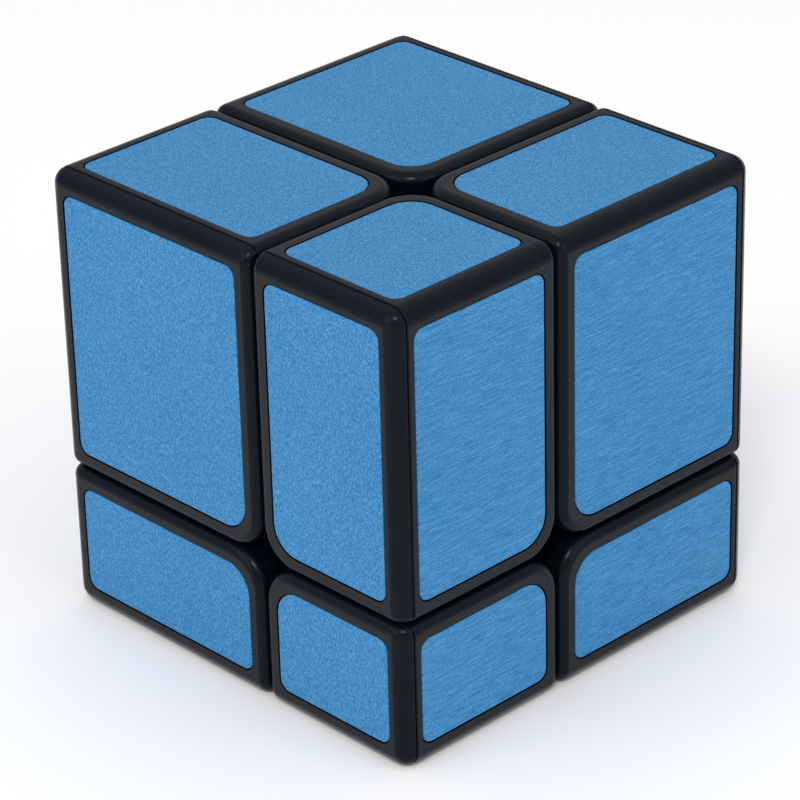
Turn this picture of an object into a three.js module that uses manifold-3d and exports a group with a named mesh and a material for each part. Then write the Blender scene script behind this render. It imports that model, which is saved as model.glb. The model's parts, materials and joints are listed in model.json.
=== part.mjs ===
// Mirror block cube: a two-layer twisty puzzle whose eight blocks all differ in size.
// Millimetres, +Z up, front face towards -Y. The origin is under the middle of the cube,
// on the surface it stands on. Everything is drawn about the pivot, the point where the
// three cuts cross, and one group carries it to its place.

import * as THREE from 'three';
import { mergeVertices } from 'three/addons/utils/BufferGeometryUtils.js';
import Module from 'manifold-3d';

const wasm = await Module();
wasm.setup();

// ---- driving dimensions ----------------------------------------------------------

const CUBE = 50;              // outside of the solved cube, all three ways
const LEFT_WIDTH = 29.85;     // from the left face to the upright side cut
const FRONT_DEPTH = 21.9;     // from the front face to the upright front cut
const BOTTOM_HEIGHT = 16.3;   // from the underside to the level cut

const CUT_GAP = 0.3;          // between the flat faces of neighbouring blocks
const WALL = 1.6;             // block mouldings
const OUTER_FILLET = 1.8;     // edges on the outside of the cube
const CUT_FILLET = 1.1;       // edges along the cuts
const PIVOT_FILLET = 4.2;     // the block edges that lie along the turning axes
const COVER_DEPTH = 1.5;      // snap-on cover on the front or back of each block
const COVER_GAP = 0.3;        // between a cover and its moulding
const LIP_DEPTH = 2.4;        // locating lip of a cover, into the moulding
const LIP_WALL = 1.0;

const BORDER_OUTER = 2.4;     // from a sticker to an outside edge of the cube
const BORDER_CUT = 2.15;      // from a sticker to a cut
const STICKER_CORNER = 1.2;
const STICKER_PIVOT_CORNER = 3.0;
const STICKER_THICKNESS = 0.25;
const POCKET_DEPTH = 0.6;     // sticker recess
const POCKET_MARGIN = 0.25;   // groove left round a sticker
const STICKER_LIFT = 0.3;     // between the floor of the recess and the sticker

const BALL_RADIUS = 13.2;     // the ball that the hidden mechanism makes
const FOOT_RADIUS = 10;       // outside of the feet that hold the pieces in
const CORE_RADIUS = 5.2;
const HEAD_HALF = 4.5;        // half width of a centre's head, above the feet
const FOOT_HALF = 3.1;        // half width of a centre's neck, between the feet
const SLIDE_GAP = 0.36;       // between sliding faces of the mechanism
const BLOCK_BALL_GAP = 0.4;   // between the ball and the blocks round it

const SCREW_BORE = 1.5;       // radii, about each of the six axes
const SCREW_SHANK = 1.1;
const SCREW_HEAD = 2.0;
const SPRING_BORE = 2.35;
const SPRING_SEAT = 8.2;      // distances from the pivot along each axis
const SCREW_HEAD_SEAT = 10.8;
const SCREW_TIP = 12.2;

const BALL_SIDES = 20;
const HOLLOW_SIDES = 16;
const BORE_SIDES = 12;
const FILLET_STEPS = 2;
const LEAST_CUT_FILLET = 0.2;   // roundings left inside a hollow
const LEAST_OUTER_FILLET = 0.3;
const OVERLAP = 0.3;            // how far solids that are joined run into each other
const CUTTER_RISE = 1;          // how far a recess cutter stands out of the face
const OPEN_END = 15;            // how far a hollow runs out through its open side
const FAR = 60;                 // longer than anything in the puzzle

const REACH = {
  x: { '-1': LEFT_WIDTH, '1': CUBE - LEFT_WIDTH },
  y: { '-1': FRONT_DEPTH, '1': CUBE - FRONT_DEPTH },
  z: { '-1': BOTTOM_HEIGHT, '1': CUBE - BOTTOM_HEIGHT },
};
const PIVOT = new THREE.Vector3(LEFT_WIDTH - CUBE / 2, FRONT_DEPTH - CUBE / 2, BOTTOM_HEIGHT);

const AXES = ['x', 'y', 'z'];
const SIDE_NAMES = {
  x: { '-1': 'left', '1': 'right' },
  y: { '-1': 'front', '1': 'back' },
  z: { '-1': 'bottom', '1': 'top' },
};

// ---- materials -------------------------------------------------------------------

function plastic(name, color, roughness) {
  return new THREE.MeshStandardMaterial({ name, color, roughness, metalness: 0 });
}

const makeBlack = () => plastic('black_plastic', 0x1b1c20, 0.42);
const makeCorePlastic = () => plastic('core_plastic', 0x2a2b2f, 0.5);
const makeFilm = () => new THREE.MeshStandardMaterial({
  name: 'blue_film',
  color: 0x4a90c8,
  roughness: 0.38,
  metalness: 0.6,
});

// ---- solids ----------------------------------------------------------------------

function toSolid(geometry) {
  const bare = geometry.clone();
  bare.deleteAttribute('normal');
  bare.deleteAttribute('uv');
  const merged = mergeVertices(bare, 1e-4);
  return new wasm.Manifold(new wasm.Mesh({
    numProp: 3,
    vertProperties: Float32Array.from(merged.attributes.position.array),
    triVerts: Uint32Array.from(merged.index.array),
  }));
}

function toGeometry(solid) {
  const mesh = solid.getMesh();
  const geometry = new THREE.BufferGeometry();
  geometry.setAttribute('position', new THREE.BufferAttribute(mesh.vertProperties, 3));
  geometry.setIndex(new THREE.BufferAttribute(mesh.triVerts, 1));
  geometry.computeVertexNormals();
  return geometry;
}

function box(low, high) {
  const size = high.clone().sub(low);
  const geometry = new THREE.BoxGeometry(size.x, size.y, size.z);
  const centre = low.clone().add(high).multiplyScalar(0.5);
  geometry.translate(centre.x, centre.y, centre.z);
  return toSolid(geometry);
}

function ball(radius, sides) {
  return toSolid(new THREE.SphereGeometry(radius, sides, sides / 2));
}

// A lathe turned about +Z, then laid along the wanted axis and side.
function turned(profile, axis, side) {
  const points = profile.map(([radius, height]) => new THREE.Vector2(radius, height));
  const geometry = new THREE.LatheGeometry(points, BORE_SIDES);
  geometry.rotateX(Math.PI / 2);
  const along = new THREE.Vector3();
  along[axis] = side;
  const turn = new THREE.Quaternion().setFromUnitVectors(new THREE.Vector3(0, 0, 1), along);
  geometry.applyQuaternion(turn);
  return toSolid(geometry);
}

function rod(radius, from, to, axis, side) {
  return turned([[0, from], [radius, from], [radius, to], [0, to]], axis, side);
}

// ---- outlines of a block, seen along one axis ------------------------------------

// A rectangle with its own radius at each corner, in the order of its corners.
function roundedRectangle(u, v, radii) {
  const corners = [[u[0], v[0]], [u[1], v[0]], [u[1], v[1]], [u[0], v[1]]];
  const shape = new THREE.Shape();
  corners.forEach(([cornerU, cornerV], index) => {
    const radius = radii[index];
    const centreU = cornerU + (cornerU === u[0] ? radius : -radius);
    const centreV = cornerV + (cornerV === v[0] ? radius : -radius);
    const start = Math.PI + index * Math.PI / 2;
    shape.absarc(centreU, centreV, radius, start, start + Math.PI / 2, false);
  });
  shape.closePath();
  return shape;
}

// The range of a block along one axis, from its cut to its outside face.
function blockRange(axis, side, cutInset, outerInset) {
  const ends = [side * cutInset, side * (REACH[axis][side] - outerInset)];
  return ends.sort((a, b) => a - b);
}

function cornerRadii(sideU, sideV, pivotRadius, cutRadius, outerRadius) {
  const order = [[-1, -1], [1, -1], [1, 1], [-1, 1]];
  return order.map(([endU, endV]) => {
    const outside = (endU === sideU) + (endV === sideV);
    return [pivotRadius, cutRadius, outerRadius][outside];
  });
}

// Extrudes an outline from one height to another along the named axis; the outline's own
// two directions are the next two axes in turn.
function extrudeAlong(axis, shape, from, to) {
  const geometry = new THREE.ExtrudeGeometry(shape, {
    depth: to - from,
    bevelEnabled: false,
    curveSegments: FILLET_STEPS,
  });
  geometry.translate(0, 0, from);
  const basis = axisOrder(axis).map((name) => {
    const direction = new THREE.Vector3();
    direction[name] = 1;
    return direction;
  });
  geometry.applyMatrix4(new THREE.Matrix4().makeBasis(...basis));
  return toSolid(geometry);
}

// The two axes of an outline, then the axis it is extruded along.
function axisOrder(axis) {
  const index = AXES.indexOf(axis);
  return [AXES[(index + 1) % 3], AXES[(index + 2) % 3], axis];
}

// The outside of a block, shrunk by an inset: what is common to its three outlines.
function blockShape(sides, inset, openAxis) {
  let shape = null;
  for (const axis of AXES) {
    const [axisU, axisV] = axisOrder(axis);
    const radii = cornerRadii(
      sides[axisU],
      sides[axisV],
      PIVOT_FILLET - inset,
      Math.max(CUT_FILLET - inset, LEAST_CUT_FILLET),
      Math.max(OUTER_FILLET - inset, LEAST_OUTER_FILLET),
    );
    const insetFor = (name) => (name === openAxis ? -OPEN_END : inset);
    const rangeU = blockRange(axisU, sides[axisU], CUT_GAP / 2 + inset, insetFor(axisU));
    const rangeV = blockRange(axisV, sides[axisV], CUT_GAP / 2 + inset, insetFor(axisV));
    const outline = roundedRectangle(rangeU, rangeV, radii);
    const part = extrudeAlong(axis, outline, -FAR, FAR);
    shape = shape ? shape.intersect(part) : part;
  }
  return shape;
}

// A sticker's outline on one face, grown by a margin.
function stickerShape(sides, axis, margin) {
  const [axisU, axisV] = axisOrder(axis);
  const rangeFor = (name) => blockRange(
    name,
    sides[name],
    BORDER_CUT - margin,
    BORDER_OUTER - margin,
  );
  const radii = cornerRadii(
    sides[axisU],
    sides[axisV],
    STICKER_PIVOT_CORNER + margin,
    STICKER_CORNER + margin,
    STICKER_CORNER + margin,
  );
  return roundedRectangle(rangeFor(axisU), rangeFor(axisV), radii);
}

function stickerSlab(sides, axis, margin, deepest, shallowest) {
  const side = sides[axis];
  const face = REACH[axis][side];
  const ends = [side * (face - deepest), side * (face - shallowest)].sort((a, b) => a - b);
  return extrudeAlong(axis, stickerShape(sides, axis, margin), ends[0], ends[1]);
}

// ---- the hidden mechanism --------------------------------------------------------

// The box that a mechanism piece fills at one threshold: past the threshold on the sides
// it belongs to, and between the two thresholds on the others.
function thresholdBox(sides, half) {
  const low = new THREE.Vector3();
  const high = new THREE.Vector3();
  for (const axis of AXES) {
    const side = sides[axis];
    const near = half + SLIDE_GAP / 2;
    low[axis] = side === 0 ? SLIDE_GAP / 2 - half : near;
    high[axis] = side === 0 ? half - SLIDE_GAP / 2 : FAR;
    if (side < 0) {
      low[axis] = -FAR;
      high[axis] = -near;
    }
  }
  return box(low, high);
}

// Head under the ball's skin, foot under the neighbours' heads, and the neck between.
function mechanismPiece(sides, outsideRadius) {
  const headBox = thresholdBox(sides, HEAD_HALF);
  const footBox = thresholdBox(sides, FOOT_HALF);
  const skin = ball(outsideRadius, BALL_SIDES);
  const head = headBox.intersect(skin).subtract(ball(FOOT_RADIUS + SLIDE_GAP / 2, BALL_SIDES));
  const foot = footBox.intersect(ball(FOOT_RADIUS - SLIDE_GAP / 2, BALL_SIDES));
  const neck = headBox.intersect(footBox).intersect(skin);
  return head.add(foot).add(neck).subtract(ball(CORE_RADIUS + SLIDE_GAP / 2, BALL_SIDES));
}

function makeCore() {
  let core = ball(CORE_RADIUS - SLIDE_GAP / 2, BALL_SIDES);
  for (const axis of AXES) {
    for (const side of [-1, 1]) {
      core = core.add(rod(SCREW_SHANK, CORE_RADIUS / 2, SCREW_HEAD_SEAT + OVERLAP, axis, side));
      core = core.add(rod(SCREW_HEAD, SCREW_HEAD_SEAT, SCREW_TIP, axis, side));
    }
  }
  return core;
}

function makeCentre(axis, side) {
  const sides = { x: 0, y: 0, z: 0, [axis]: side };
  const bores = rod(SCREW_BORE, 0, FAR, axis, side)
    .add(rod(SPRING_BORE, SPRING_SEAT, FAR, axis, side));
  return mechanismPiece(sides, BALL_RADIUS - SLIDE_GAP / 2).subtract(bores);
}

function makeEdge(sides) {
  return mechanismPiece(sides, BALL_RADIUS - SLIDE_GAP / 2);
}

// ---- the blocks ------------------------------------------------------------------

// A block with its sticker recesses, before it is split into moulding and cover.
function makeOuterBlock(sides) {
  let block = blockShape(sides, 0).subtract(ball(BALL_RADIUS + BLOCK_BALL_GAP / 2, BALL_SIDES));
  for (const axis of AXES) {
    block = block.subtract(stickerSlab(sides, axis, POCKET_MARGIN, POCKET_DEPTH, -CUTTER_RISE));
  }
  return block;
}

// Everything on the outward side of a plane across the block, in front or behind.
function outwardOf(distance, side) {
  const far = new THREE.Vector3(FAR, FAR, FAR);
  const low = far.clone().negate();
  const high = far.clone();
  if (side > 0) {
    low.y = distance;
  } else {
    high.y = -distance;
  }
  return box(low, high);
}

function makeMoulding(sides, outerBlock) {
  const faceDistance = REACH.y[sides.y];
  const hollow = blockShape(sides, WALL, 'y')
    .subtract(ball(BALL_RADIUS + BLOCK_BALL_GAP / 2 + WALL, HOLLOW_SIDES));
  const shell = outerBlock
    .subtract(outwardOf(faceDistance - COVER_DEPTH - COVER_GAP / 2, sides.y))
    .subtract(hollow);
  return shell.add(mechanismPiece(sides, BALL_RADIUS + WALL / 2));
}

function makeCover(sides, outerBlock) {
  const faceDistance = REACH.y[sides.y];
  const plateBack = faceDistance - COVER_DEPTH + COVER_GAP / 2;
  const lipEnd = plateBack - COVER_GAP - LIP_DEPTH;
  const plate = outerBlock.intersect(outwardOf(plateBack, sides.y));
  const lip = blockShape(sides, WALL + COVER_GAP, 'y')
    .subtract(blockShape(sides, WALL + COVER_GAP + LIP_WALL, 'y'))
    .intersect(outwardOf(lipEnd, sides.y))
    .subtract(outwardOf(plateBack + OVERLAP, sides.y));
  return plate.add(lip);
}

// ---- the assembly ----------------------------------------------------------------

const puzzle = new THREE.Group();
puzzle.position.copy(PIVOT);

function place(group, name, solid, material) {
  const mesh = new THREE.Mesh(toGeometry(solid), material);
  mesh.name = name;
  group.add(mesh);
}

place(puzzle, 'core_with_screws', makeCore(), makeCorePlastic());

for (const axis of AXES) {
  for (const side of [-1, 1]) {
    const name = `${SIDE_NAMES[axis][side]}_centre`;
    place(puzzle, name, makeCentre(axis, side), makeCorePlastic());
  }
}

// The twelve hidden edges: each belongs to two sides and lies across the third axis.
for (const across of AXES) {
  const [axisU, axisV] = AXES.filter((axis) => axis !== across).reverse();
  for (const sideU of [-1, 1]) {
    for (const sideV of [-1, 1]) {
      const sides = { [axisU]: sideU, [axisV]: sideV, [across]: 0 };
      const name = `${SIDE_NAMES[axisU][sideU]}_${SIDE_NAMES[axisV][sideV]}_edge`;
      place(puzzle, name, makeEdge(sides), makeCorePlastic());
    }
  }
}

for (const z of [-1, 1]) {
  for (const x of [-1, 1]) {
    for (const y of [-1, 1]) {
      const sides = { x, y, z };
      const block = [SIDE_NAMES.z[z], SIDE_NAMES.x[x], SIDE_NAMES.y[y]].join('_');
      const outerBlock = makeOuterBlock(sides);
      const group = new THREE.Group();
      puzzle.add(group);
      place(group, `${block}_block`, makeMoulding(sides, outerBlock), makeBlack());
      place(group, `${block}_cover`, makeCover(sides, outerBlock), makeBlack());
      for (const axis of AXES) {
        const name = `${block}_sticker_${SIDE_NAMES[axis][sides[axis]]}`;
        const deepest = POCKET_DEPTH - STICKER_LIFT;
        const film = stickerSlab(sides, axis, 0, deepest, deepest - STICKER_THICKNESS);
        place(group, name, film, makeFilm());
      }
    }
  }
}

export default puzzle;
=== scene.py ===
"""Looks of the mirror block cube: eight unequal black blocks faced with brushed blue film.

Every block, film and hidden mechanism piece is modelled about the pivot, the point where the
three cuts cross. Sizes are in metres, and the axes are the frame's own.
"""

import itertools
import json
import math

import bmesh
import bpy
from mathutils import Matrix, Vector


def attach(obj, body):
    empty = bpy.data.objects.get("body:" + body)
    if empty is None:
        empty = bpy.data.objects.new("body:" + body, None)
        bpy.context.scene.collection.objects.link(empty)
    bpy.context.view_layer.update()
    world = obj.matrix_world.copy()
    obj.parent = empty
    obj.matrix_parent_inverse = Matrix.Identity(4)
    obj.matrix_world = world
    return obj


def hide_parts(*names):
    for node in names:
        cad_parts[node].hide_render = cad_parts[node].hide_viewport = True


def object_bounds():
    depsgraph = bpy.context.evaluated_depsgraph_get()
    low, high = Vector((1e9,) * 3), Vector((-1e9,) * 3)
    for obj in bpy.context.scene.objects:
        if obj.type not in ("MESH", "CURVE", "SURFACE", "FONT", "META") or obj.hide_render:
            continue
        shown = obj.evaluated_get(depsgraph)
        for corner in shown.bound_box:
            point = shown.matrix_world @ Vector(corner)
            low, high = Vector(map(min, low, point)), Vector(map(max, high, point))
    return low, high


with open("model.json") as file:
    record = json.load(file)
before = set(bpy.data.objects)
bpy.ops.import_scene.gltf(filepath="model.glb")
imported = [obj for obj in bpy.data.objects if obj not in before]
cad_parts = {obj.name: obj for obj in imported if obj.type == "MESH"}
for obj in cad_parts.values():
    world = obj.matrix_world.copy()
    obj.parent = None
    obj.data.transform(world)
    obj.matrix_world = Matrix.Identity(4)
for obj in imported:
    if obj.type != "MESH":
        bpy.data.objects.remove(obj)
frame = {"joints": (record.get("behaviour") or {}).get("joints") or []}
frame_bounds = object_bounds()

MM = 0.001

# ---- the puzzle's own sizes ----------------------------------------------------------

CUT_GAP = 0.3 * MM             # between the flat faces of neighbouring blocks
WALL = 1.6 * MM
OUTER_FILLET = 1.8 * MM
CUT_FILLET = 1.1 * MM
PIVOT_FILLET = 4.2 * MM
LEAST_OUTER_FILLET = 0.3 * MM  # roundings left inside a hollow
LEAST_CUT_FILLET = 0.2 * MM
FILLET_STEPS = 6
PIVOT_STEPS = 12
HOLLOW_STEPS = 3
SMALL_STEPS = 2

SEAM_DEPTH = 1.5 * MM          # from a cover's face to the seam behind it
SEAM_GAP = 0.09 * MM
SEAM_EDGE = 0.14 * MM
LIP_DEPTH = 2.4 * MM
LIP_WALL = 1.0 * MM
LIP_CLEARANCE = 0.15 * MM
OPEN_END = 6 * MM              # how far a hollow is drawn out through its open side
OVERLAP = 0.3 * MM             # how far solids that are joined run into each other
CUTTER_RISE = 1 * MM           # how far a recess cutter stands out of the face

FILM_BORDER_OUTER = 2.4 * MM
FILM_BORDER_CUT = 2.15 * MM
FILM_CORNER = 1.2 * MM
FILM_PIVOT_CORNER = 3.0 * MM
FILM_TOP = 0.04 * MM           # how far the film lies below the plastic round it
FILM_THICKNESS = 0.22 * MM
FILM_EDGE = 0.05 * MM
RECESS_DEPTH = 0.28 * MM
RECESS_MARGIN = 0.17 * MM

BALL_RADIUS = 13.2 * MM        # the ball that the hidden mechanism makes
FOOT_RADIUS = 10 * MM          # outside of the feet that hold the pieces in
CORE_RADIUS = 5.2 * MM
HEAD_HALF = 4.5 * MM           # half width of a centre's head, above the feet
FOOT_HALF = 3.1 * MM           # half width of a centre's neck, between the feet
SLIDE_GAP = 0.36 * MM          # between sliding faces of the mechanism
BLOCK_BALL_GAP = 0.4 * MM      # between the ball and the blocks round it
MECHANISM_REACH = 2 * BALL_RADIUS
BALL_RINGS = 24
EASED_EDGE = 0.15 * MM
EASED_ANGLE = math.radians(50)
CORE_FLAT = 4.75 * MM          # from the pivot to the core's flats
CORE_HOLE_MARGIN = 0.05 * MM

SCREW_BORE = 1.5 * MM          # radii, about each of the six axes
SCREW_SHANK = 1.1 * MM
THREAD_ROOT = SCREW_SHANK * 0.9
THREAD_WIRE = SCREW_SHANK * 0.1
SCREW_HEAD = 2.0 * MM
SPRING_BORE = 2.35 * MM
SPRING_RADIUS = 1.75 * MM
SPRING_WIRE = 0.17 * MM
WASHER_RADIUS = SCREW_HEAD + 0.1 * MM
WASHER_HOLE = SCREW_SHANK + 0.1 * MM
THREAD_START = 2.8 * MM        # distances from the pivot along each axis
THREAD_END = 7.2 * MM
SPRING_SEAT = 8.2 * MM
SPRING_END = 10.25 * MM
SCREW_HEAD_SEAT = 10.8 * MM
SCREW_TIP = 12.2 * MM
WASHER_THICKNESS = 0.45 * MM
WASHER_EDGE = 0.08 * MM
SCREW_HEAD_ROUND = 0.35 * MM
SCREW_HEAD_STEPS = 3
SCREW_SLOT = 0.28 * MM         # half the width of the cross in a screw's head
SCREW_SLOT_REACH = SCREW_HEAD * 0.6
SCREW_SLOT_DEPTH = 0.7 * MM
THREAD_TURNS = 9
SPRING_TURNS = 3
WIRE_SIDES = 10
COIL_STEPS = 24                # in one turn of a spring or thread
ROD_SIDES = 32
WASHER_SIDES = 48

ON_PLANE = 0.01 * MM           # how near to a plane an edge counts as lying on it
ON_SEAM = 0.005 * MM
MERGE_DISTANCE = 0.0001 * MM
SHARP_EDGE = math.radians(40)
SMOOTH_ANGLE = math.radians(30)
SHADING_WEIGHT = 80
ALONG_AXIS = 0.9               # least share of an edge's run, to count as along an axis

AXES = "xyz"
SIDE_NAMES = {
    "x": {-1: "left", 1: "right"},
    "y": {-1: "front", 1: "back"},
    "z": {-1: "bottom", 1: "top"},
}
PIVOT = Vector(frame["joints"][0]["pos_m"])
REACH = {
    -1: PIVOT - Vector(frame_bounds[0]),
    1: Vector(frame_bounds[1]) - PIVOT,
}
CUBE_HALF = (frame_bounds[1][0] - frame_bounds[0][0]) / 2
FLAT_FADE = 0.02 * MM          # how near to the outside a surface counts as flat


def direction(axis, side):
    way = Vector((0, 0, 0))
    way[AXES.index(axis)] = side
    return way


# ---- hand tools ----------------------------------------------------------------------

def start_clean():
    if bpy.context.object and bpy.context.object.mode != "OBJECT":
        bpy.ops.object.mode_set(mode="OBJECT")
    bpy.ops.object.select_all(action="DESELECT")


def take_up(piece):
    """Makes a piece the only one that operators act on."""
    start_clean()
    piece.select_set(True)
    bpy.context.view_layer.objects.active = piece


def enter_edit_mode(piece):
    take_up(piece)
    bpy.ops.object.mode_set(mode="EDIT")
    bpy.ops.mesh.select_all(action="SELECT")


def leave_edit_mode():
    bpy.ops.object.mode_set(mode="OBJECT")


def keep_place_in_mesh(piece):
    take_up(piece)
    bpy.ops.object.transform_apply(location=True, rotation=True, scale=True)
    return piece


def add_box(name, low, high):
    """A cube between two corners, given from the pivot."""
    start_clean()
    low, high = Vector(map(min, low, high)), Vector(map(max, low, high))
    bpy.ops.mesh.primitive_cube_add(size=1, location=PIVOT + (low + high) / 2, scale=high - low)
    piece = bpy.context.object
    piece.name = name
    return keep_place_in_mesh(piece)


def add_ball(name, radius):
    start_clean()
    bpy.ops.mesh.primitive_uv_sphere_add(
        segments=2 * BALL_RINGS, ring_count=BALL_RINGS, radius=radius, location=PIVOT)
    piece = bpy.context.object
    piece.name = name
    return keep_place_in_mesh(piece)


def add_rod(name, radius, start, end, sides=ROD_SIDES):
    """A cylinder on the pivot's upright axis, between two heights above the pivot."""
    start_clean()
    bpy.ops.mesh.primitive_cylinder_add(
        vertices=sides, radius=radius, depth=end - start,
        location=PIVOT + Vector((0, 0, (start + end) / 2)))
    piece = bpy.context.object
    piece.name = name
    return keep_place_in_mesh(piece)


def pick_edges(piece, edge_test):
    """Goes into edit mode with only the edges that pass the test selected."""
    enter_edit_mode(piece)
    bpy.ops.mesh.select_mode(type="EDGE")
    bpy.ops.mesh.select_all(action="DESELECT")
    mesh = bmesh.from_edit_mesh(piece.data)
    chosen = [edge for edge in mesh.edges if edge_test(edge)]
    for edge in chosen:
        edge.select_set(True)
    bmesh.update_edit_mesh(piece.data)
    return chosen


def round_edges(piece, radius, steps, edge_test):
    if pick_edges(piece, edge_test):
        bpy.ops.mesh.bevel(
            offset=radius, offset_type="OFFSET", segments=steps, profile=0.5,
            affect="EDGES", clamp_overlap=False)
    leave_edit_mode()


def combine(piece, tool, operation):
    """Cuts, joins or keeps what is common with a second piece, which is used up."""
    take_up(piece)
    boolean = piece.modifiers.new("combine", "BOOLEAN")
    boolean.operation = operation
    boolean.solver = "EXACT"
    boolean.object = tool
    bpy.ops.object.modifier_apply(modifier=boolean.name)
    discard(tool)
    return piece


def discard(piece):
    mesh = piece.data
    bpy.data.objects.remove(piece)
    bpy.data.meshes.remove(mesh)


def duplicate(piece, name):
    copy = piece.copy()
    copy.data = piece.data.copy()
    copy.name = name
    bpy.context.scene.collection.objects.link(copy)
    return copy


def cut_off(piece, place, normal):
    """Slices the piece at a plane, drops what lies past it and closes the slice."""
    enter_edit_mode(piece)
    bpy.ops.mesh.bisect(plane_co=place, plane_no=normal, use_fill=True, clear_outer=True)
    leave_edit_mode()


def join_loose(pieces):
    """Puts solids that touch or lie inside each other into one object."""
    start_clean()
    for piece in pieces:
        piece.select_set(True)
    bpy.context.view_layer.objects.active = pieces[0]
    bpy.ops.object.join()
    return pieces[0]


def face_outwards(piece):
    """Turns every face of a closed piece outwards."""
    enter_edit_mode(piece)
    bpy.ops.mesh.normals_make_consistent(inside=False)
    leave_edit_mode()


def smooth(piece):
    take_up(piece)
    bpy.ops.object.shade_smooth_by_angle(angle=SMOOTH_ANGLE)
    weighted = piece.modifiers.new("even_shading", "WEIGHTED_NORMAL")
    weighted.keep_sharp = True
    weighted.weight = SHADING_WEIGHT
    bpy.ops.object.modifier_apply(modifier=weighted.name)


def is_sharp(edge):
    return len(edge.link_faces) == 2 and edge.calc_face_angle(0) > SHARP_EDGE


def edge_middle(edge):
    """The middle of an edge, from the pivot."""
    return (edge.verts[0].co + edge.verts[1].co) / 2 - PIVOT


# ---- blocks --------------------------------------------------------------------------

def block_corners(sides, cut_inset, outer_inset):
    """The innermost and outermost corners of a block, from the pivot."""
    inner = Vector([side * cut_inset for side in sides])
    outer = Vector([side * (REACH[side][i] - outer_inset) for i, side in enumerate(sides)])
    return inner, outer


def touches(edge, inner, outer, wanted_inner):
    """True for an edge of a box with the wanted number of its two faces at the inner corner."""
    middle = edge_middle(edge)
    near = sum(abs(middle[i] - inner[i]) < ON_PLANE for i in range(3))
    far = sum(abs(middle[i] - outer[i]) < ON_PLANE for i in range(3))
    return near == wanted_inner and near + far == 2


def rounded_block(name, sides, inset, pivot_steps, steps, open_end=False):
    """The outside of a block, shrunk by an inset, with its three kinds of rounding.

    With an open end it runs on through the block's cover.
    """
    inner, outer = block_corners(sides, CUT_GAP / 2 + inset, inset)
    if open_end:
        outer.y += sides[1] * OPEN_END
    block = add_box(name, inner, outer)
    round_edges(block, PIVOT_FILLET - inset, pivot_steps,
                lambda edge: touches(edge, inner, outer, 2))
    round_edges(block, max(OUTER_FILLET - inset, LEAST_OUTER_FILLET), steps,
                lambda edge: touches(edge, inner, outer, 0))
    round_edges(block, max(CUT_FILLET - inset, LEAST_CUT_FILLET), steps, is_sharp)
    return block


def inner_block(name, sides, inset):
    """A block shrunk by an inset and run on through its cover, for a hollow or a lip."""
    return rounded_block(name, sides, inset, HOLLOW_STEPS, HOLLOW_STEPS, open_end=True)


def film_plate(name, sides, axis, margin, deep, shallow):
    """A film's outline on one face, grown by a margin, as a plate with rounded corners."""
    low, high = block_corners(sides, FILM_BORDER_CUT - margin, FILM_BORDER_OUTER - margin)
    i = AXES.index(axis)
    face = sides[i] * REACH[sides[i]][i]
    low[i] = face - sides[i] * deep
    high[i] = face - sides[i] * shallow
    plate = add_box(name, low, high)

    def along_depth(edge):
        run = edge.verts[1].co - edge.verts[0].co
        return abs(run.normalized()[i]) > ALONG_AXIS

    def at_pivot_corner(edge):
        middle = edge_middle(edge)
        return along_depth(edge) and all(
            abs(middle[k] - low[k]) < ON_PLANE for k in range(3) if k != i)

    round_edges(plate, FILM_PIVOT_CORNER + margin, PIVOT_STEPS, at_pivot_corner)
    round_edges(plate, FILM_CORNER + margin, FILLET_STEPS,
                lambda edge: along_depth(edge) and is_sharp(edge))
    return plate


def outer_block(name, sides):
    """A block with the ball's hollow and its three film recesses, still in one piece."""
    block = rounded_block(name, sides, 0, PIVOT_STEPS, FILLET_STEPS)
    combine(block, add_ball("ball_cutter", BALL_RADIUS + BLOCK_BALL_GAP / 2), "DIFFERENCE")
    for axis in AXES:
        recess = film_plate("recess", sides, axis, RECESS_MARGIN, RECESS_DEPTH, -CUTTER_RISE)
        combine(block, recess, "DIFFERENCE")
    return block


def seam_place(sides, offset):
    """A point on the seam plane, moved outwards by an offset."""
    return PIVOT + Vector((0, sides[1] * (REACH[sides[1]][1] - SEAM_DEPTH + offset), 0))


def soften_seam(piece, place):
    def on_seam(edge):
        return is_sharp(edge) and all(abs(v.co.y - place.y) < ON_SEAM for v in edge.verts)

    round_edges(piece, SEAM_EDGE, SMALL_STEPS, on_seam)


def moulding(name, sides, whole, corner_foot):
    """The main part of a block: open towards its cover, with its stalk and foot."""
    shell = duplicate(whole, name)
    place = seam_place(sides, -SEAM_GAP / 2)
    cut_off(shell, place, direction("y", sides[1]))
    soften_seam(shell, place)
    hollow = inner_block("hollow", sides, WALL)
    combine(hollow, add_ball("hollow_ball", BALL_RADIUS + BLOCK_BALL_GAP / 2 + WALL),
            "DIFFERENCE")
    combine(shell, hollow, "DIFFERENCE")
    combine(shell, turned_copy(corner_foot, "foot", turn_to_sides(sides)), "UNION")
    return shell


def cover(name, sides, whole):
    """The plate that closes a block, with its locating lip."""
    plate = duplicate(whole, name)
    place = seam_place(sides, SEAM_GAP / 2)
    cut_off(plate, place, direction("y", -sides[1]))
    soften_seam(plate, place)
    inset = WALL + LIP_CLEARANCE
    lip = inner_block("lip", sides, inset)
    combine(lip, inner_block("lip_space", sides, inset + LIP_WALL), "DIFFERENCE")
    cut_off(lip, seam_place(sides, OVERLAP), direction("y", sides[1]))
    cut_off(lip, seam_place(sides, -LIP_DEPTH), direction("y", -sides[1]))
    return combine(plate, lip, "UNION")


# ---- hidden mechanism ----------------------------------------------------------------

def threshold_box(name, sides, half):
    """Past a threshold on the sides a piece belongs to, between the two on the others."""
    near = half + SLIDE_GAP / 2
    low = Vector([side * near if side else SLIDE_GAP / 2 - half for side in sides])
    high = Vector([side * MECHANISM_REACH if side else half - SLIDE_GAP / 2 for side in sides])
    return add_box(name, low, high)


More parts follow.
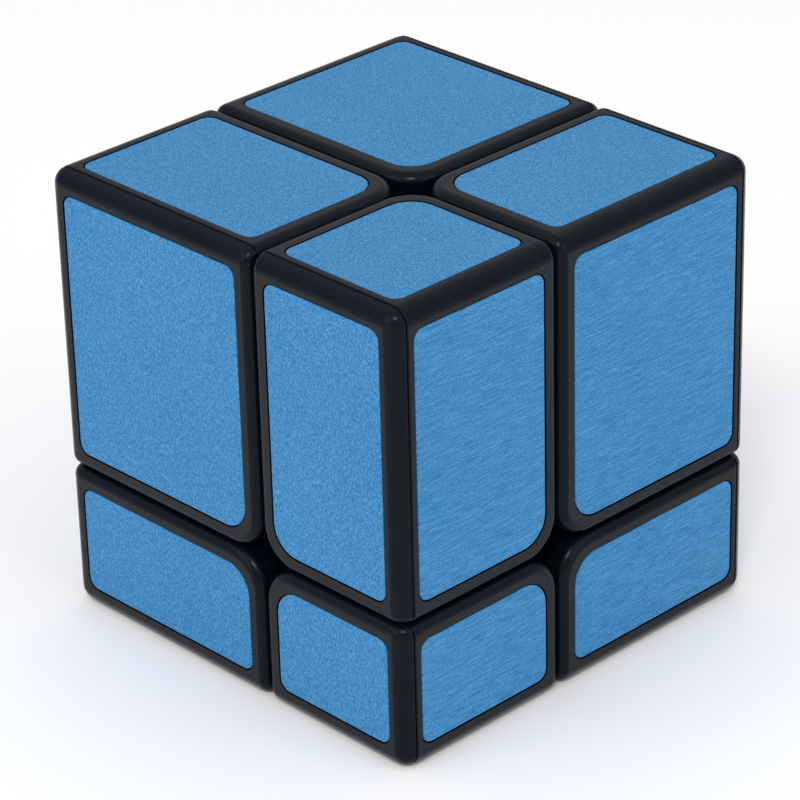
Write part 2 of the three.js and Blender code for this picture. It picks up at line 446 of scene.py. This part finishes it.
def mechanism_piece(name, sides, outside_radius):
    """Head under the ball's skin, foot under its neighbours' heads, and the neck between."""
    head = combine(threshold_box(name, sides, HEAD_HALF),
                   add_ball("skin", outside_radius), "INTERSECT")
    combine(head, add_ball("foot_space", FOOT_RADIUS + SLIDE_GAP / 2), "DIFFERENCE")
    foot = combine(threshold_box("foot", sides, FOOT_HALF),
                   add_ball("foot_skin", FOOT_RADIUS - SLIDE_GAP / 2), "INTERSECT")
    neck = combine(threshold_box("neck", sides, HEAD_HALF),
                   threshold_box("neck_foot", sides, FOOT_HALF), "INTERSECT")
    combine(neck, add_ball("neck_skin", outside_radius), "INTERSECT")
    combine(head, foot, "UNION")
    combine(head, neck, "UNION")
    combine(head, add_ball("core_space", CORE_RADIUS + SLIDE_GAP / 2), "DIFFERENCE")
    return head


def ease_edges(piece):
    """Bevels moulded edges.

    Only the core comes out eased. On a turning centre or a hidden edge the bevel has almost no
    width, so their edges stay sharp and it leaves faces without area along them.
    """
    take_up(piece)
    bevel = piece.modifiers.new("eased_edges", "BEVEL")
    bevel.width = EASED_EDGE
    bevel.segments = SMALL_STEPS
    bevel.limit_method = "ANGLE"
    bevel.angle_limit = EASED_ANGLE
    bpy.ops.object.modifier_apply(modifier=bevel.name)


def centre_piece():
    """A turning centre about the upright axis, bored for its screw and spring."""
    centre = mechanism_piece("centre", (0, 0, 1), BALL_RADIUS - SLIDE_GAP / 2)
    combine(centre, add_rod("bore", SCREW_BORE, 0, MECHANISM_REACH), "DIFFERENCE")
    combine(centre, add_rod("spring_bore", SPRING_BORE, SPRING_SEAT, MECHANISM_REACH),
            "DIFFERENCE")
    ease_edges(centre)
    return centre


def edge_piece():
    edge = mechanism_piece("edge", (0, 1, 1), BALL_RADIUS - SLIDE_GAP / 2)
    ease_edges(edge)
    return edge


def core_piece():
    """The ball in the middle, with a flat and a screw hole on each of its six sides."""
    core = add_ball("core", CORE_RADIUS - SLIDE_GAP / 2)
    half = Vector((CORE_FLAT, CORE_FLAT, CORE_FLAT))
    combine(core, add_box("flats", -half, half), "INTERSECT")
    for axis, side in itertools.product(AXES, (-1, 1)):
        hole = add_rod("hole", SCREW_SHANK + CORE_HOLE_MARGIN, CORE_RADIUS / 2, CORE_RADIUS)
        hole.data.transform(about_pivot(turn_up_to(direction(axis, side))))
        combine(core, hole, "DIFFERENCE")
    ease_edges(core)
    return core


def coil(name, radius, wire, start, end, turns):
    """A helix of round wire about the upright axis, closed at both ends."""
    start_clean()
    bpy.ops.mesh.primitive_circle_add(
        vertices=WIRE_SIDES, radius=wire, location=PIVOT, rotation=(math.pi / 2, 0, 0))
    piece = bpy.context.object
    piece.name = name
    bpy.ops.object.transform_apply(location=False, rotation=True, scale=False)
    enter_edit_mode(piece)
    bpy.ops.transform.translate(value=(radius, 0, start + wire))
    leave_edit_mode()
    winding = piece.modifiers.new("winding", "SCREW")
    winding.screw_offset = (end - start - 2 * wire) / turns
    winding.iterations = turns
    winding.steps = COIL_STEPS
    winding.render_steps = COIL_STEPS
    bpy.ops.object.modifier_apply(modifier=winding.name)
    enter_edit_mode(piece)
    bpy.ops.mesh.remove_doubles(threshold=MERGE_DISTANCE)
    bpy.ops.mesh.fill_holes(sides=0)
    bpy.ops.mesh.normals_make_consistent(inside=False)
    leave_edit_mode()
    return keep_place_in_mesh(piece)


def screw_piece():
    """A cross-head screw with a threaded shank."""
    screw = add_rod("screw", SCREW_HEAD, SCREW_HEAD_SEAT, SCREW_TIP)

    def on_rim(edge):
        return is_sharp(edge) and all(
            v.co.z > PIVOT.z + SCREW_TIP - ON_PLANE for v in edge.verts)

    round_edges(screw, SCREW_HEAD_ROUND, SCREW_HEAD_STEPS, on_rim)
    for wide, deep in ((SCREW_SLOT_REACH, SCREW_SLOT), (SCREW_SLOT, SCREW_SLOT_REACH)):
        slot = add_box("slot", (-wide, -deep, SCREW_TIP - SCREW_SLOT_DEPTH),
                       (wide, deep, SCREW_TIP + OVERLAP))
        combine(screw, slot, "DIFFERENCE")
    combine(screw, add_rod("shank", THREAD_ROOT, THREAD_START, SCREW_HEAD_SEAT + OVERLAP),
            "UNION")
    thread = coil("thread", THREAD_ROOT, THREAD_WIRE, THREAD_START, THREAD_END, THREAD_TURNS)
    return join_loose([screw, thread])


def washer_piece():
    end = SPRING_END + WASHER_THICKNESS
    washer = add_rod("washer", WASHER_RADIUS, SPRING_END, end, WASHER_SIDES)
    combine(washer, add_rod("washer_hole", WASHER_HOLE, 0, 2 * end), "DIFFERENCE")
    round_edges(washer, WASHER_EDGE, SMALL_STEPS, is_sharp)
    return washer


# ---- turned copies -------------------------------------------------------------------

def about_pivot(turn):
    return Matrix.Translation(PIVOT) @ turn.to_4x4() @ Matrix.Translation(-PIVOT)


def turned_copy(piece, name, turn):
    copy = duplicate(piece, name)
    copy.data.transform(about_pivot(turn))
    return copy


def turn_up_to(way):
    """The turn that carries the upright axis to another one."""
    return Vector((0, 0, 1)).rotation_difference(way).to_matrix()


def turn_to_pair(first, second):
    """The turn that carries +Y and +Z to two other axes."""
    return Matrix((first.cross(second), first, second)).transposed()


def turn_to_sides(sides):
    """The turn that carries the corner between +X, +Y and +Z to another corner."""
    ways = [direction(axis, side) for axis, side in zip(AXES, sides)]
    if math.prod(sides) < 0:
        ways[0], ways[1] = ways[1], ways[0]
    return Matrix(ways).transposed()


# ---- finishes ------------------------------------------------------------------------

class Value:
    """A number in a shader, so that arithmetic on it adds its Math nodes."""

    def __init__(self, nodes, socket):
        self.nodes = nodes
        self.socket = socket

    def _math(self, operation, *inputs):
        values = dict(enumerate(inputs))
        return self.nodes.node("ShaderNodeMath", {"operation": operation}, values)[0]

    def __add__(self, other):
        return self._math("ADD", self, other)

    __radd__ = __add__

    def __sub__(self, other):
        return self._math("SUBTRACT", self, other)

    def __rsub__(self, other):
        return self._math("SUBTRACT", other, self)

    def __mul__(self, other):
        return self._math("MULTIPLY", self, other)

    __rmul__ = __mul__

    def size(self):
        return self._math("ABSOLUTE", self)

    def greater(self, other):
        return self._math("MAXIMUM", self, other)

    def clamped(self):
        return self._math("MINIMUM", self._math("MAXIMUM", self, 0.0), 1.0)


class Nodes:
    """The nodes of a material or of the surroundings, and one way to add to them."""

    def __init__(self, owner, shader_kind):
        owner.use_nodes = True
        self.tree = owner.node_tree
        self.shader = next(n for n in self.tree.nodes if n.type == shader_kind)

    def node(self, kind, settings=None, sockets=None):
        """Adds a node and gives its outputs in use, in their order, as Values."""
        node = self.tree.nodes.new(kind)
        for key, value in (settings or {}).items():
            setattr(node, key, value)
        for key, value in (sockets or {}).items():
            self._feed(node.inputs[key], value)
        return [Value(self, socket) for socket in node.outputs if socket.enabled]

    def _feed(self, socket, value):
        if isinstance(value, Value):
            self.tree.links.new(value.socket, socket)
        else:
            socket.default_value = value

    def constants(self, **values):
        """Sets sockets of the shader that are the same all over, with _ for a space."""
        for name, value in values.items():
            self.shader.inputs[name.replace("_", " ")].default_value = value

    def feed(self, socket_name, value):
        self._feed(self.shader.inputs[socket_name], value)


class Finish(Nodes):
    """A material with one main shader, and the patterns that feed it."""

    def __init__(self, name):
        self.material = bpy.data.materials.new(name)
        super().__init__(self.material, "BSDF_PRINCIPLED")

    def place(self):
        """Where a point is on the puzzle."""
        return self.node("ShaderNodeTexCoord")[3]

    def scaled(self, vector, scale):
        return self.node("ShaderNodeMapping", {"vector_type": "POINT"},
                         {"Vector": vector, "Scale": scale})[0]

    def noise(self, vector, scale, detail, roughness):
        return self.node("ShaderNodeTexNoise", None, {
            "Vector": vector, "Scale": scale, "Detail": detail, "Roughness": roughness})[0]

    def mix_colour(self, factor, first, second):
        return self.node("ShaderNodeMix", {"data_type": "RGBA"},
                         {0: factor, 6: first, 7: second})[0]

    def bump(self, height, distance, strength):
        return self.node("ShaderNodeBump", None, {
            "Height": height, "Distance": distance, "Strength": strength})[0]


# Colours, and the scales of patterns: how many of a pattern's cells fit in a metre.
# Painted reflection: the roundings' dark navy colour stands in for the dark, bluish surround
# that they reflect.
POLISHED_REFLECTION_DARK = (0.0006, 0.0032, 0.0070, 1)
POLISHED_REFLECTION_LIGHT = (0.002, 0.005, 0.0095, 1)
DUSTY_DARK = (0.006, 0.0075, 0.0095, 1)
DUSTY_LIGHT = (0.021, 0.022, 0.0235, 1)
PLASTIC_GRAIN = 5200
PLASTIC_RUB = 150

CORE_DARK = (0.022, 0.022, 0.024, 1)
CORE_LIGHT = (0.034, 0.034, 0.037, 1)
CORE_GRAIN = 3000

FILM_BLUE = (0.0295, 0.204, 0.435, 1)
FILM_DARK = (0.011, 0.143, 0.340, 1)
FILM_LIGHT = (0.080, 0.296, 0.570, 1)
# Painted glints: specks of the film are painted this lighter blue in the base colour.
FILM_SPARKLE = (0.24, 0.46, 0.69, 1)
FILM_FINE = 7000
FILM_BROAD = 45
FILM_GLINTS = 8500
FILM_GLINT_LEVEL = 0.63        # how bright a speck has to be to glint

STEEL_DARK = (0.45, 0.45, 0.46, 1)
STEEL_LIGHT = (0.6, 0.6, 0.62, 1)
STEEL_GRAIN = (900, 900, 5200)


def black_plastic():
    """Moulded black plastic: polished roundings painted dark navy as a painted reflection, and
    flats that are greyer, matt and grainy.
    """
    finish = Finish("black_plastic")
    place = finish.place()
    x, y, z = finish.node("ShaderNodeSeparateXYZ", None, {"Vector": place})
    reach = x.size().greater(y.size()).greater((z - CUBE_HALF).size())
    flat = ((reach - (CUBE_HALF - FLAT_FADE)) * (1 / FLAT_FADE)).clamped()
    grain = finish.noise(place, PLASTIC_GRAIN, 3.0, 0.6)
    rubbed = finish.noise(place, PLASTIC_RUB, 3.0, 0.55)
    dusty = finish.mix_colour((3 * grain - 1).clamped(), DUSTY_DARK, DUSTY_LIGHT)
    # Painted reflection: away from the flats, the roundings are painted darker and bluer than
    # the flats in place of a dark reflection.
    polished_reflection = finish.mix_colour(rubbed, POLISHED_REFLECTION_DARK, POLISHED_REFLECTION_LIGHT)
    finish.feed("Base Color", finish.mix_colour(flat, polished_reflection, dusty))
    finish.feed("Roughness", 0.20 + 0.10 * rubbed + 0.20 * flat)
    finish.feed("Normal", finish.bump(grain * (0.25 + 0.75 * flat), 0.012 * MM, 0.6))
    finish.constants(Specular_IOR_Level=0.11)
    return finish.material


def core_plastic():
    """Satin black plastic of the hidden pieces."""
    finish = Finish("core_plastic")
    place = finish.place()
    grain = finish.noise(place, CORE_GRAIN, 3.0, 0.6)
    finish.feed("Base Color", finish.mix_colour(grain, CORE_DARK, CORE_LIGHT))
    finish.feed("Roughness", 0.42 + 0.14 * grain)
    finish.feed("Normal", finish.bump(grain, 0.015 * MM, 0.6))
    return finish.material


def blue_film(name, grain_scale, contrast):
    """Metallised film with a fine grain, drawn out along the axis where its scale is least."""
    finish = Finish(name)
    place = finish.place()
    grain = finish.noise(finish.scaled(place, grain_scale), 1.0, 3.0, 0.6)
    fine = finish.noise(place, FILM_FINE, 2.0, 0.6)
    broad = finish.noise(place, FILM_BROAD, 2.0, 0.5)
    tone = (0.5 + contrast * (grain - 0.5) + 2.2 * (fine - 0.5) + 0.3 * (broad - 0.5)).clamped()
    specks = finish.noise(place, FILM_GLINTS, 1.0, 0.5)
    # Painted glints: the brightest specks are painted a lighter blue in the base colour.
    sparkle = (6 * (specks - FILM_GLINT_LEVEL)).clamped()
    darker = finish.mix_colour((tone * 2).clamped(), FILM_DARK, FILM_BLUE)
    grained = finish.mix_colour((tone * 2 - 1).clamped(), darker, FILM_LIGHT)
    finish.feed("Base Color", finish.mix_colour(sparkle, grained, FILM_SPARKLE))
    finish.feed("Roughness", 0.48 + 0.12 * grain)
    finish.feed("Normal", finish.bump(grain, 0.004 * MM, 0.5))
    finish.constants(Metallic=0.25, Specular_IOR_Level=0.2)
    return finish.material


def steel():
    """Bright steel of the screws, springs and washers, with faint turning marks."""
    finish = Finish("screw_steel")
    place = finish.place()
    turned = finish.noise(finish.scaled(place, STEEL_GRAIN), 1.0, 2.0, 0.5)
    finish.feed("Base Color", finish.mix_colour(turned, STEEL_DARK, STEEL_LIGHT))
    finish.feed("Roughness", 0.26 + 0.16 * turned)
    finish.constants(Metallic=1.0)
    return finish.material


PLASTIC = black_plastic()
CORE_PLASTIC = core_plastic()
STEEL = steel()
# The grain runs from front to back on the left and right, and up the front and back. On the
# top and underside it has no direction.
FILM = {
    "x": blue_film("film_grain_across", grain_scale=(6500, 420, 11000), contrast=2.7),
    "y": blue_film("film_grain_upright", grain_scale=(7000, 6000, 3000), contrast=3.3),
    "z": blue_film("film_speckle", grain_scale=(6200, 6200, 6200), contrast=4.2),
}


def finish_piece(piece, material, body, slot, *nodes):
    """Gives a piece its material, its body and the CAD nodes that it replaces, if any."""
    piece.data.materials.clear()
    piece.data.materials.append(material)
    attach(piece, body)
    if nodes:
        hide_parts(*nodes)


# ---- the puzzle ----------------------------------------------------------------------

def side_name(axis, sides):
    return SIDE_NAMES[axis][sides[AXES.index(axis)]]


def build_block(sides, corner_foot):
    """A block's moulding, its cover and its three films."""
    block = "_".join(side_name(axis, sides) for axis in "zxy")
    whole = outer_block("whole", sides)
    shell = moulding(f"{block}_moulding", sides, whole, corner_foot)
    lid = cover(f"{block}_lid", sides, whole)
    discard(whole)
    body = f"{block}_corner"
    for piece, node in ((shell, f"{block}_block"), (lid, f"{block}_cover")):
        face_outwards(piece)
        smooth(piece)
        finish_piece(piece, PLASTIC, body, "black_plastic", node)
    for axis in AXES:
        side = side_name(axis, sides)
        film = film_plate(f"{block}_film_{side}", sides, axis, 0,
                          FILM_TOP + FILM_THICKNESS, FILM_TOP)
        round_edges(film, FILM_EDGE, SMALL_STEPS, is_sharp)
        smooth(film)
        finish_piece(film, FILM[axis], body, "blue_film", f"{block}_sticker_{side}")


def build_mechanism():
    """The core, and about it six sprung screws, six turning centres and twelve edges."""
    core = core_piece()
    core.name = "core_ball"
    smooth(core)
    finish_piece(core, CORE_PLASTIC, "core", "core_plastic", "core_with_screws")
    centre = centre_piece()
    fittings = {
        "screw": screw_piece(),
        "spring": coil("spring", SPRING_RADIUS, SPRING_WIRE, SPRING_SEAT, SPRING_END,
                       SPRING_TURNS),
        "washer": washer_piece(),
    }
    for piece in (centre, *fittings.values()):
        smooth(piece)
    for axis, side in itertools.product(AXES, (-1, 1)):
        name = SIDE_NAMES[axis][side]
        turn = turn_up_to(direction(axis, side))
        finish_piece(turned_copy(centre, f"{name}_turning_centre", turn), CORE_PLASTIC,
                     f"{name}_centre", "core_plastic", f"{name}_centre")
        for kind, model in fittings.items():
            finish_piece(turned_copy(model, f"{name}_{kind}", turn), STEEL, "core",
                         "core_plastic")
    edge = edge_piece()
    smooth(edge)
    for first, second in (("z", "y"), ("z", "x"), ("y", "x")):
        for side_first, side_second in itertools.product((-1, 1), repeat=2):
            name = f"{SIDE_NAMES[first][side_first]}_{SIDE_NAMES[second][side_second]}"
            turn = turn_to_pair(direction(first, side_first), direction(second, side_second))
            finish_piece(turned_copy(edge, f"{name}_hidden_edge", turn), CORE_PLASTIC,
                         f"{name}_edge", "core_plastic", f"{name}_edge")
    for model in (centre, edge, *fittings.values()):
        discard(model)


def build_puzzle():
    corner_foot = mechanism_piece("corner_foot", (1, 1, 1), BALL_RADIUS + WALL / 2)
    for sides in itertools.product((-1, 1), repeat=3):
        build_block(sides, corner_foot)
    discard(corner_foot)
    build_mechanism()


# ---- floor, light and camera ---------------------------------------------------------

FLOOR_SIZE = 6
PAPER = (0.885, 0.88, 0.89, 1)
WHITE = (1, 1, 1, 1)
LIGHT_AIM = Vector((0, 0, 20)) * MM
TENT_LOW = 0.3                 # heights between which the tent brightens, as a direction's z
TENT_HIGH = 0.85

CAMERA_AZIMUTH = math.radians(46.32)
CAMERA_ELEVATION = math.radians(27.49)
CAMERA_ROLL = math.radians(-1.49)
CAMERA_DISTANCE = 385.9 * MM
CAMERA_AIM = Vector((0.214, -0.958, 23.431)) * MM
CAMERA_LENS = 168.65           # in mm, as Blender's cameras take it
CAMERA_SENSOR = 36
CAMERA_NEAREST = 10 * MM


def studio_floor():
    finish = Finish("studio_paper")
    finish.constants(Base_Color=PAPER, Roughness=0.7)
    start_clean()
    bpy.ops.mesh.primitive_plane_add(size=FLOOR_SIZE, location=(0, 0, 0))
    floor = bpy.context.object
    floor.name = "floor"
    floor.data.materials.append(finish.material)


def soft_light(name, place, size, power):
    data = bpy.data.lights.new(name, "AREA")
    data.shape = "DISK"
    data.size = size
    data.energy = power
    light = bpy.data.objects.new(name, data)
    bpy.context.scene.collection.objects.link(light)
    light.location = place
    light.rotation_euler = (LIGHT_AIM - Vector(place)).to_track_quat("-Z", "Y").to_euler()


def white_surround(overhead, low):
    """A white tent, brighter overhead than along the ground."""
    world = bpy.data.worlds.new("studio")
    surround = Nodes(world, "BACKGROUND")
    surround.constants(Color=WHITE)
    towards = surround.node("ShaderNodeTexCoord")[0]
    height = surround.node("ShaderNodeSeparateXYZ", None, {"Vector": towards})[2]
    surround.feed("Strength", surround.node(
        "ShaderNodeMapRange", {"interpolation_type": "SMOOTHSTEP"},
        {"Value": height, "From Min": TENT_LOW, "From Max": TENT_HIGH,
         "To Min": low, "To Max": overhead})[0])
    bpy.context.scene.world = world


def add_camera():
    flat = math.cos(CAMERA_ELEVATION)
    back = Vector((math.sin(CAMERA_AZIMUTH) * flat, -math.cos(CAMERA_AZIMUTH) * flat,
                   math.sin(CAMERA_ELEVATION)))
    right = Vector((math.cos(CAMERA_AZIMUTH), math.sin(CAMERA_AZIMUTH), 0))
    up = back.cross(right)
    across = math.cos(CAMERA_ROLL) * right + math.sin(CAMERA_ROLL) * up
    upward = math.cos(CAMERA_ROLL) * up - math.sin(CAMERA_ROLL) * right
    data = bpy.data.cameras.new("camera")
    data.lens = CAMERA_LENS
    data.sensor_width = CAMERA_SENSOR
    data.clip_start = CAMERA_NEAREST
    camera = bpy.data.objects.new("camera", data)
    bpy.context.scene.collection.objects.link(camera)
    turn = Matrix((across, upward, back)).transposed()
    camera.matrix_world = Matrix.Translation(CAMERA_AIM + CAMERA_DISTANCE * back) @ turn.to_4x4()
    bpy.context.scene.camera = camera


build_puzzle()
studio_floor()
white_surround(overhead=0.97, low=0.58)
soft_light("front_softbox", place=(-0.25, -1.0, 0.55), size=0.9, power=2.9)
soft_light("end_softbox", place=(1.0, 0.15, 0.5), size=0.9, power=2.1)
soft_light("glint_lamp", place=(0.42, -0.5, 0.72), size=0.22, power=3.0)
add_camera()
bpy.context.scene.view_settings.view_transform = "Standard"
